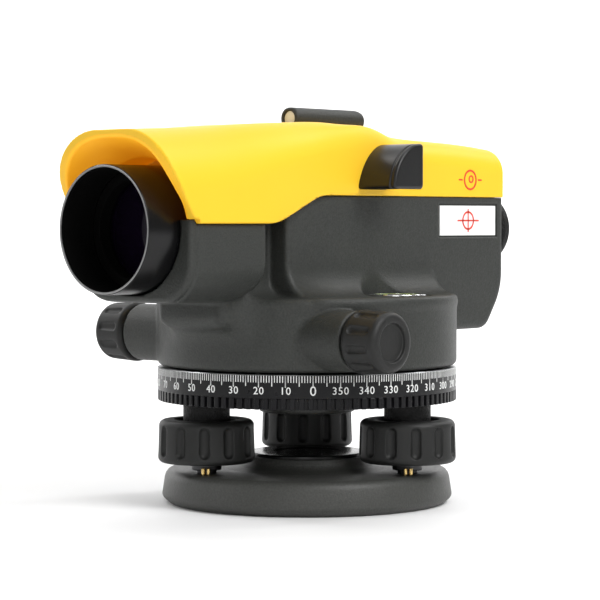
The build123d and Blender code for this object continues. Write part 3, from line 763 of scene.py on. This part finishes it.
# %% Cover field
def crest(x):
    """Height of the cover's ridge."""
    knots_x = (-101.0, -70.0, -40.0, -12.0, 6.0, 20.0, 32.0, 44.0, 60.0, 76.0, 87.0)
    knots_z = (133.6, 135.0, 137.3, 138.6, 137.4, 134.7, 133.5, 133.1, 132.6, 131.7, 130.4)
    return np.interp(x, knots_x, knots_z)


def smooth_crest(x):
    """The ridge line with its corners eased."""
    return sum(crest(x + d) * w for d, w in ((-9, 1), (-6, 2), (-3, 3), (0, 3), (3, 3), (6, 2), (9, 1))) / 15


def arch(x, y, z, inset):
    """Section of the cover across the telescope, smaller by the inset."""
    back = ramp(x, -58.0, 6.0)
    half = 29.6 - 4.1 * back - inset
    top = smooth_crest(x) - inset
    corner = 22.0 - 12.5 * ramp(x, -95.0, 10.0) - inset * 0.6
    across = np.abs(y) - half + corner
    up = z - top + corner
    return np.minimum(np.maximum(across, up), 0) + np.hypot(np.maximum(across, 0), np.maximum(up, 0)) - corner


def cover_field(x, y, z):
    body = arch(x, y, z, 0.0)
    swell = np.sqrt(((x - 4) / 17.0) ** 2 + ((y + 23.0) / 4.4) ** 2 + ((z - 123.5) / 13.0) ** 2) - 1.0
    body = join(body, swell * 4.2, 4.0)
    visor_front = -99.0 + 0.0122 * np.clip(134.0 - z, 0, 40) ** 2
    slanted = (visor_front + 0.12 * np.clip(arch(x, y, z, 0.0), -9, 0) - x) * 0.85
    body = keep(body, slanted, 0.5)
    body = keep(body, x - cover_high[0], 2.5)
    mouth_share = np.clip((-84.0 - x) / 15.0, 0, 1.2)
    half = 24.3 + 3.5 * ramp(x, -85.0, -92.5)
    top = 24.6 + mouth_share * 6.6
    power = 2.0 + 0.6 * mouth_share
    ratio = (np.abs(y) / half) ** power + (np.abs(z - axis_z) / np.where(z > axis_z, top, 30.0)) ** power
    mouth = np.maximum((ratio ** (1 / power) - 1.0) * 24.0, x + 72.0)
    body = cut(body, mouth, 0.8)
    room = np.maximum(arch(x, y, z, 2.6), np.maximum(-70.0 - x, x - cover_high[0] + 2.6))
    body = cut(body, room, 0.4)
    sight_groove = rod_field(np.hypot(y, z - sight_z), x, 4.45, -10.5, 30.0, 0.2)
    body = cut(body, sight_groove, 0.3)
    front_step = 1.5 * ramp(x, -85.0, -86.0)
    return keep(body, parting(x) + 0.06 + front_step - z, 0.35)


sight_low, sight_high = span("sight_body")
sight_z = sight_high[2] - (sight_high[1] - sight_low[1]) / 2
mesh = skin(cover_field, cover_low, cover_high, 0.8)
publish("yellow_cover", mesh, yellow, "housing", ("top_cover",))
print("cover faces", len(mesh.polygons), "sight height", sight_z.round(1))

# %% [markdown]
# ## Knobs
# All knobs share one form: a drum with long thumb recesses round it. Each recess is a
# capsule pressed slightly into the drum, so its rim is soft and its lower end round.


# %% Knob field
def knob_field(radius, length, flutes, phase, rec_half, rec_low, rec_high, depth,
               dish_r, dish_depth, taper=0.0, bore=0.0):
    """Field of a fluted knob that stands on Z = 0."""
    def field(x, y, z):
        r = np.hypot(x, y)
        angle = np.arctan2(y, x) - phase
        pitch = 2 * pi / flutes
        local = (angle + pitch / 2) % pitch - pitch / 2
        drum = rod_field(r + taper * z, z, radius, 0.0, length, 2.2)
        over = np.maximum(np.abs(z - (rec_low + rec_high) / 2) - (rec_high - rec_low) / 2, 0)
        reach = np.hypot(local * radius, over)
        scoop = np.hypot(reach, (r - radius) * (rec_half / depth)) - rec_half
        drum = cut(drum, scoop * 0.6, 0.25)
        if dish_depth:
            drum = cut(drum, rod_field(r, z, dish_r, length - dish_depth, length + 9, 0.6), 0.9)
        if bore:
            drum = cut(drum, r - bore, 0.3)
        return drum
    return field


def make_knob(name, shape, radius, length, step, place, body, node):
    mesh = skin(shape, (-radius, -radius, 0), (radius, radius, length), step, place)
    publish(name, mesh, soft_black, body, (node,))
    return len(mesh.polygons)


# %% [markdown]
# Three fluted knobs turn on the levelling screws. Each has a well above, round the bushing, and
# a bore for the screw.

# %% Levelling knobs
CAMERA_SIDE = radians(222.0)
foot_bodies = {1: "knob_1", 2: "screw_2", 3: "screw_3"}
foot_centres = {}
for number, body in foot_bodies.items():
    low, high = span(f"footscrew_knob_{number}")
    centre = (low + high) / 2
    foot_centres[number] = centre
    radius = (high[0] - low[0]) / 2
    phase = CAMERA_SIDE + {1: radians(-5), 2: radians(0), 3: radians(8)}[number]
    shape = knob_field(radius, high[2] - low[2], 12, phase, 2.0, 4.4, 11.6, 1.7, 11.2, 7.6, 0.03, 4.1)
    made = make_knob(f"levelling_knob_{number}", shape, radius, high[2] - low[2], 0.5,
                     shift(centre[0], centre[1], low[2]), body, f"footscrew_knob_{number}")
print("levelling knob faces", made)

# %% [markdown]
# The drive shaft ends in a knob on each side, so either hand can aim. The focusing knob is
# larger and sits on the far side.

# %% Drive knobs and focusing knob
for side, node in ((-1, "drive_knob_near"), (1, "drive_knob_far")):
    low, high = span(node)
    length = high[1] - low[1]
    radius = (high[0] - low[0]) / 2
    shape = knob_field(radius, length, 10, 0.2, 1.7, 4.4, 10.6, 1.2, 6.6, 1.3, 0.05)
    start = shift(drive_x, low[1] if side > 0 else high[1], drive_z)
    made = make_knob(f"side_knob_{'near' if side < 0 else 'far'}", shape, radius, length,
                     0.42, start @ (ALONG_Y if side > 0 else ALONG_MINUS_Y), "drive", node)
low, high = span("focus_knob")
shape = knob_field((high[0] - low[0]) / 2, high[1] - low[1], 14, 0.0, 1.8, 4.2, 11.0, 1.2, 10.0, 1.4, 0.03)
focus_place = shift((low[0] + high[0]) / 2, low[1], (low[2] + high[2]) / 2) @ ALONG_Y
made = make_knob("focusing_knob", shape, (high[0] - low[0]) / 2, high[1] - low[1], 0.5,
                 focus_place, "focus_turn", "focus_knob")
print("focusing knob faces", made)

# %% [markdown]
# ## The base
# The footplate, its hub and its black cap are turned outlines with generous fillets. The
# three screws stand in it on ball feet, and two brass pins show beside each.

# %% Footplate and cap
base_r = base_high[0]
hub_top = base_high[2]
thread_r = span("thread_bush")[1][0]
outline = [
    (thread_r, 0), (base_r - 2.9, 0, 1.2), (base_r, 2.4, 2.0), (base_r - 1.5, 12.4, 3.4),
    (30.5, 12.6, 4.0), (24.2, 13.6, 3.0), (23.0, hub_top, 0.7), (thread_r, hub_top),
]
publish("footplate", turn(outline), dark_coat, "base", ("base_plate",))
cap_low, cap_high = span("hub_cap")
outline = [(0, cap_low[2]), (cap_high[0], cap_low[2]), (cap_high[0], cap_high[2], 0.5), (12.4, cap_high[2], 0.3),
           (12.0, cap_high[2] - 0.35, 0.2), (0, cap_high[2] - 0.35)]
publish("hub_cap_disc", turn(outline), polished_black, "base", ("hub_cap",))

# %% [markdown]
# Turned steel stems stand on ball feet. The bushings above are sleeves, and two pin tips
# beside each foot are brass.

# %% Screws, bushings and pins
stem_outline = [(0, 4.1), (3.2, 4.1, 0.3), (4.9, 6.8, 1.5), (4.9, 9.2, 1.5), (3.5, 11.6, 0.5), (3.5, 13.4),
                (5.4, 13.6, 0.4), (5.4, 16.4), (3.5, 16.4), (3.5, 42.0, 0.5), (0, 42.0)]
stem_bodies = {1: "leaning_stem", 2: "screw_2", 3: "screw_3"}
bushing_low, bushing_high = span("footscrew_bushings")
bushing_outline = [(5.2, bushing_low[2]), (8.4, bushing_low[2], 0.8), (8.4, bushing_high[2]), (5.2, bushing_high[2])]
bushings = []
pins = []
pin_outline = [(0, 12.2), (0.62, 12.2), (0.62, 14.75, 0.2), (0, 14.75)]
for number, centre in foot_centres.items():
    place = shift(centre[0], centre[1], 0)
    publish(f"levelling_screw_{number}", turn(stem_outline, place, 48), dark_steel, stem_bodies[number],
            (f"footscrew_stem_{number}",))
    bushings.append(turn(bushing_outline, place, 96))
    for side in (-0.95, 0.95):
        x = centre[0] + 7.0 * cos(CAMERA_SIDE) - side * sin(CAMERA_SIDE)
        y = centre[1] + 7.0 * sin(CAMERA_SIDE) + side * cos(CAMERA_SIDE)
        pins.append(turn(pin_outline, shift(x, y, 0), 24))


def merged(meshes):
    """One mesh from several."""
    build = bmesh.new()
    for part in meshes:
        build.from_mesh(part)
    mesh = bpy.data.meshes.new("merged")
    build.to_mesh(mesh)
    build.free()
    return mesh


publish("bushing_sleeves", merged(bushings), grained_rubber, "tribrach", ("footscrew_bushings",))
publish("brass_pin_tips", merged(pins), brass, "base", ("brass_pins",))
print("screws, bushings", len(bushings), "pins", len(pins))

# %% [markdown]
# The tribrach is the plate that the three screws carry. It is a field too, because its three
# screw holes lie off the axis, where a turned outline could not put them.

# %% Tribrach
plate_low, plate_high = span("tribrach_body")


def tribrach_field(x, y, z):
    r = np.hypot(x, y)
    body = join(rod_field(r, z, 17.7, plate_low[2], 50.0, 1.2), rod_field(r, z, plate_high[0], 38.0, 43.0, 0.3), 1.5)
    body = join(body, rod_field(r, z, 19.0, 39.0, 55.0, 0.3), 0.5)
    body = np.minimum(body, rod_field(r, z, 14.0, 50.0, plate_high[2], 0.3))
    body = cut(body, rod_field(r, z, 11.0, 35.5, 99.0, 0.3), 0.3)
    for centre in foot_centres.values():
        body = cut(body, np.hypot(x - centre[0], y - centre[1]) - 5.2, 0.3)
    return body


mesh = skin(tribrach_field, plate_low, plate_high, 0.8)
publish("tribrach_casting", mesh, dark_coat, "tribrach", ("tribrach_body",))
print("tribrach faces", len(mesh.polygons))

# %% [markdown]
# ## The graduated ring
# The ring turns by hand to set zero. Its lower edge is cut into grip lugs, its face carries
# a mark every degree, longer every five, and a number every ten, counted clockwise.

# %% Ring body and grip lugs
ring_r = ring_high[0]
ring_top = ring_high[2]
grip_top = ring_low[2] + 3.7
outline = [
    (51.6, ring_low[2] + 0.2), (ring_r - 1.1, ring_low[2], 0.3), (ring_r - 1.1, grip_top, 0.3),
    (ring_r, grip_top + 0.2, 0.3), (ring_r, ring_top - 0.3), (ring_r - 0.3, ring_top), (51.6, ring_top),
    (51.6, 44.6), (47.0, 44.6), (47.0, 43.2), (51.6, 43.2),
]
publish("circle_body", turn(outline, steps=256), dial_black, "circle", ("circle_ring",))
lug = bead((1.5, 1.95, 4.1), 0.35)
mesh = around_axis(lug, 108, ring_r - 0.78, 0.0, dial_black, shift(0, 0, ring_low[2] + 2.07))
publish("grip_lugs", mesh, None, "circle")
print("lugs", len(mesh.polygons))

# %% [markdown]
# On a real circle the marks are engraved or printed. Here each is a thin raised bar, repeated
# by the tree for every degree, every five and every ten.

# %% Degree marks
ZERO_MARK = radians(224.2)
mark_sets = ((360, 0.27, 2.4, "degree"), (72, 0.32, 3.7, "five_degree"), (36, 0.36, 4.1, "ten_degree"))
for count, width, length, label in mark_sets:
    mark = bead((0.3, width, length), 0.0)
    place = shift(0, 0, ring_top - 0.2 - length / 2)
    mesh = around_axis(mark, count, ring_r - 0.11, ZERO_MARK, white_paint, place)
    publish(f"{label}_marks", mesh, None, "circle")
print("marks", sum(item[0] for item in mark_sets))


# %% [markdown]
# Numbers are set flat, made a mesh, and then bent round the ring by moving each corner.

# %% Dial numbers
def dial_number(text, size):
    """Flat number as a mesh in millimetres, centred."""
    curve = bpy.data.curves.new("number", "FONT")
    curve.body = text
    curve.size = size
    curve.align_x = "CENTER"
    curve.align_y = "CENTER"
    curve.extrude = 0.12
    curve.space_character = 1.12
    curve.offset = 0.005
    curve.resolution_u = 3
    holder = bpy.data.objects.new("holder", curve)
    bpy.context.scene.collection.objects.link(holder)
    bpy.context.view_layer.update()
    mesh = bpy.data.meshes.new_from_object(holder)
    bpy.data.objects.remove(holder)
    return mesh


def wrap_on_ring(mesh, angle, z, radius):
    """Bends a flat number round the ring."""
    for vertex in mesh.vertices:
        x, up, out = vertex.co
        turned = angle + x / radius
        reach = radius + out
        vertex.co = Vector((reach * cos(turned), reach * sin(turned), z + up)) * MM


numbers = []
for tens in range(36):
    text = dial_number(str(tens * 10), 4.8 if tens == 0 else 3.7)
    wrap_on_ring(text, ZERO_MARK - radians(tens * 10), ring_top - 5.6, ring_r)
    numbers.append(text)
publish("dial_numbers", merged(numbers), white_paint, "circle")
print("numbers", len(numbers))

# %% [markdown]
# ## Objective
# The hood is a thin polished black tube; its lip is light grey metal, a painted highlight of
# the lip edge. Inside it a ring holds the front lens, whose coating gives a faint purple sheen.

# %% Hood, retaining ring and front lens
hood_r = hood_high[1]
ALONG_AXIS = shift(0, 0, axis_z) @ ALONG_X
hood_x = hood_low[0]
outline = [
    (hood_r - 1.0, hood_x, 0.2), (hood_r, hood_x, 0.3), (hood_r, -54.0), (16.5, -54.0), (16.5, -70.0),
    (18.05, -70.0), (18.05, -86.0), (hood_r - 1.0, -86.0),
]
publish("lens_hood", turn(outline, ALONG_AXIS, 192), polished_black, "housing", ("objective_tube",))
# The lip's front face is light grey metal, a painted highlight of the lip edge.
rim = [(hood_r - 1.02, hood_x + 0.35), (hood_r - 0.95, hood_x - 0.03, 0.08), (hood_r - 0.25, hood_x - 0.03, 0.1),
       (hood_r - 0.25, hood_x + 0.35)]
publish("hood_rim", turn(rim, ALONG_AXIS, 192), lip_highlight_metal, "housing")
outline = [(17.2, -87.5), (20.6, -87.5, 0.3), (20.6, -86.0), (18.0, -86.0), (18.0, -83.0), (17.2, -83.0)]
publish("lens_retainer", turn(outline, ALONG_AXIS, 160), matt_black, "housing", ("objective_retainer",))
lens_low, lens_high = span("objective_lens_front")
dome = [(18.0 * sin(radians(a)), lens_low[0] + 1.4 * (1 - cos(radians(a)))) for a in range(0, 91, 10)]
outline = dome + [(18.0, lens_high[0] - 1.2), (0, lens_high[0])]
publish("front_lens", turn(outline, ALONG_AXIS, 128), coated, "housing", ("objective_lens_front",))
outline = [(hood_r - 1.25, hood_x + 0.8), (hood_r - 0.98, hood_x + 0.8),
           (hood_r - 0.98, -87.6), (hood_r - 1.25, -87.6)]
publish("hood_lining", turn(outline, ALONG_AXIS, 160), matt_black, "housing")
print("objective ready, hood radius", hood_r.round(2))

# %% [markdown]
# ## Eyepiece
# At the rear a ribbed ring sets the eyepiece to the eye, and a rubber cup keeps light out.

# %% Eyepiece pieces
flange_low, flange_high = span("eyepiece_flange")
outline = [(10.05, flange_low[0]), (11.4, flange_low[0]), (11.4, rear_x), (16.0, rear_x), (16.0, flange_high[0], 0.8),
           (10.05, flange_high[0])]
publish("eyepiece_seat", turn(outline, ALONG_AXIS), anodised, "housing", ("eyepiece_flange",))
dial_low, dial_high = span("dioptre_ring")
outline = [(10.2, dial_low[0]), (13.6, dial_low[0], 0.4), (13.6, dial_high[0], 0.9), (10.2, dial_high[0])]
publish("dioptre_body", turn(outline, ALONG_AXIS), soft_black, "dioptre", ("dioptre_ring",))
rib = bead((1.6, 1.5, dial_high[0] - dial_low[0] - 2.4), 0.4)
middle = (dial_low[0] + dial_high[0]) / 2
mesh = around_axis(rib, 30, 13.5, 0.0, soft_black, shift(middle, 0, axis_z) @ ALONG_X)
publish("dioptre_ribs", mesh, None, "dioptre")
cup_low, cup_high = span("eyecup")
outline = [(6.5, cup_low[0]), (12.0, cup_low[0], 0.5), (13.7, cup_low[0] + 1.4, 0.6), (13.9, cup_high[0], 0.5),
           (12.4, cup_high[0], 0.4), (10.6, cup_high[0] - 1.9, 0.8), (6.5, cup_low[0] + 1.2, 0.3)]
publish("rubber_eyecup", turn(outline, ALONG_AXIS), grained_rubber, "eyepiece", ("eyecup",))
print("eyepiece ready")

# %% [markdown]
# ## Level viewer, circular level and sight
# The quarter-round hood holds a prism, so the bubble below can be read from the eyepiece.


# %% Level viewer
viewer_low, viewer_high = span("prism_housing")


def viewer_field(x, y, z):
    curve_r = viewer_high[0] - viewer_low[0] + 0.4
    quarter = np.hypot(x - viewer_high[0], (z - viewer_low[2]) * 0.98) - curve_r
    body = keep(quarter, x - viewer_high[0], 1.6)
    body = keep(body, viewer_low[2] - z, 1.6)
    body = keep(body, z - viewer_high[2], 1.2)
    groove = 0.5 * np.exp(-((y - viewer_low[1] - 2.2) / 0.35) ** 2)
    body = body + groove
    body = keep(body, viewer_low[1] - y, 1.2)
    body = np.maximum(body, y - viewer_high[1] - 0.4)
    room = box_field(x, y, z, (3.5, viewer_low[1] + 1.8, 90.0), (30.0, viewer_high[1] - 2, viewer_high[2] - 3.2), 0.8)
    slope_cut = (x - 3.0) * -0.75 + (z - 114.0) * 0.66 - 0.5
    return cut(body, np.maximum(room, slope_cut), 0.3)


mesh = skin(viewer_field, viewer_low, viewer_high, 0.36)
publish("level_viewer", mesh, satin_black, "housing", ("prism_housing",))
print("viewer faces", len(mesh.polygons))

# %% [markdown]
# A glass vial of liquid sits in a steel seat let into the shelf. A ring marks the centre, where
# the bubble stands when the base is level.

# %% Circular level
level_place = shift(level_x, level_y, 0)
seat_top = shelf_z + 0.8
outline = [(0, level_low[2]), (8.4, level_low[2]), (8.4, shelf_z), (10.5, shelf_z, 0.05),
           (10.5, seat_top, 0.3),
           (8.2, seat_top), (8.2, level_low[2] + 1.4), (0, level_low[2] + 1.4)]
publish("level_seat", turn(outline, level_place), bright_steel, "housing", ("level_bezel",))
glass_top = seat_top - 0.1
outline = [(0, level_low[2] + 1.4), (8.1, level_low[2] + 1.4), (8.1, glass_top - 0.6, 0.4), (4.0, glass_top - 0.15, 1.0),
           (0, glass_top)]
publish("level_glass", turn(outline, level_place), liquid, "housing", ("level_vial",))
outline = [(2.9, glass_top - 0.12), (3.2, glass_top - 0.12), (3.2, glass_top + 0.06), (2.9, glass_top + 0.06)]
publish("level_circle", turn(outline, level_place, 64), matt_black, "housing")
outline = [(0, glass_top - 0.15), (2.3, glass_top - 0.15), (2.3, glass_top + 0.03), (0, glass_top + 0.15)]
publish("level_bubble", turn(outline, level_place @ shift(0.3, 0.2, 0), 48), bubble_white, "housing")
print("level at", level_x.round(1), level_y.round(1))


# %% [markdown]
# A short tube on the cover's ridge is used to point the telescope roughly. Its front holds a
# pale pane.

# %% Open sight
def sight_field(x, y, z):
    tube = rod_field(np.hypot(y, z - sight_z), x, 4.3, sight_low[0], sight_high[0], 1.0)
    droop = np.hypot(np.maximum(x - sight_high[0] + 3.4, 0), np.maximum(z - sight_z - 0.9, 0)) - 3.4
    tube = keep(tube, droop, 1.0)
    foot = box_field(x, y, z, (sight_low[0] + 4, -2.3, 131.5), (sight_high[0] - 2.2, 2.3, sight_z), 1.0)
    foot = np.maximum(foot, smooth_crest(x) - 2.2 - z)
    body = join(tube, foot, 2.0)
    return cut(body, rod_field(np.hypot(y, z - sight_z), x, 2.75, sight_low[0] - 9, sight_low[0] + 2.4, 0.2), 0.4)


mesh = skin(sight_field, sight_low, sight_high, 0.36)
publish("sight_tube", mesh, coat, "housing", ("sight_body",))
outline = [(0, sight_low[0] + 0.5), (2.7, sight_low[0] + 0.7, 0.2), (2.7, sight_low[0] + 2.2),
           (0, sight_low[0] + 2.2)]
publish("sight_pane", turn(outline, shift(0, 0, sight_z) @ ALONG_X, 64), cream, "housing", ("sight_window",))
print("sight faces", len(mesh.polygons))


# %% [markdown]
# ## Plate and signs
# The side plate is blank but for a plain pictogram, and a bubble sign stands on the cover.

# %% Plate and pictograms
plate_low, plate_high = span("label_plate")
face_y = -box_half - 0.02
mesh = bead((plate_high[0] - plate_low[0], 0.62, plate_high[2] - plate_low[2]), 0.12)
mesh.transform(Matrix.Scale(MM, 4) @ shift((plate_low[0] + plate_high[0]) / 2, face_y + 0.42,
                                           (plate_low[2] + plate_high[2]) / 2))
publish("side_plate", mesh, label_white, "housing", ("label_plate",))


def outline_bar(x0, x1, z0, z1, y, thick):
    """Thin raised bar on a side wall."""
    mesh = bead((x1 - x0, thick, z1 - z0), 0.0)
    mesh.transform(Matrix.Scale(MM, 4) @ shift((x0 + x1) / 2, y, (z0 + z1) / 2))
    return mesh


def outline_ring(x, z, radius, width, y, squash=1.0):
    """Thin raised ring on a side wall."""
    ring = [(radius - width, -0.1), (radius, -0.1), (radius, 0.1), (radius - width, 0.1)]
    stretch = Matrix.Diagonal((squash, 1, 1, 1))
    return turn(ring, shift(x, y, z) @ stretch @ ALONG_MINUS_Y, 64)


sign_x = (plate_low[0] + plate_high[0]) / 2
sign_z = (plate_low[2] + plate_high[2]) / 2
sign_y = face_y + 0.13
marks = [outline_ring(sign_x, sign_z, 3.6, 0.7, sign_y)]
marks += [outline_bar(sign_x - 6.5, sign_x + 6.5, sign_z - 0.3, sign_z + 0.3, sign_y, 0.2)]
marks += [outline_bar(sign_x - 0.3, sign_x + 0.3, sign_z - 4.4, sign_z + 4.4, sign_y, 0.2)]
publish("plate_pictogram", merged(marks), sign_red, "housing")
cover_side = -25.5 - 0.02
bubble_x = 64.5
marks = [outline_ring(bubble_x, 118.6, 3.9, 0.7, cover_side), outline_ring(65.0, 118.9, 1.5, 0.6, cover_side)]
for side in (-1, 1):
    middle = bubble_x + side * 5.9
    marks.append(outline_bar(middle - 1.1, middle + 1.1, 118.3, 118.9, cover_side, 0.2))
publish("cover_pictogram", merged(marks), sign_red, "housing")
print("plate and sign ready")

# %% [markdown]
# ## Pieces that keep their engineering shape
# What lies inside, and the plain parts underneath, keep the engineering surface and only get their
# finish.

# %% Finishes of the remaining nodes
inner_finish = (
    (steel, "thread_bush spring_plate clutch_washer drive_shaft spindle focus_shaft suspension_wires"),
    (bright_steel, "spring_plate_screws housing_screws cover_screws"),
    (bronze, "axis_sleeve tangent_wheel drive_bushes"),
    (aluminium, "bottom_plate compensator_frame pendulum_arm"),
    (glass, "objective_lens_rear focusing_lens reticle_glass eyepiece_field_lens "
     "eyepiece_eye_lens fixed_prism_front fixed_prism_rear pendulum_prism level_prism"),
    (matt_black, "telescope_tube"),
    (anodised, "focusing_cell eyepiece_barrel"),
    (brass, "focus_rack reticle_ring"),
    (magnet, "damper_magnet"),
)
for finish, names in inner_finish:
    for node in names.split():
        holder = nodes[node] if isinstance(nodes[node], bpy.types.Object) else bpy.data.objects[node]
        if not holder.material_slots:
            holder.data.materials.append(None)
        for slot in holder.material_slots:
            slot.material = finish.material
print("finished nodes", sum(len(names.split()) for _, names in inner_finish))
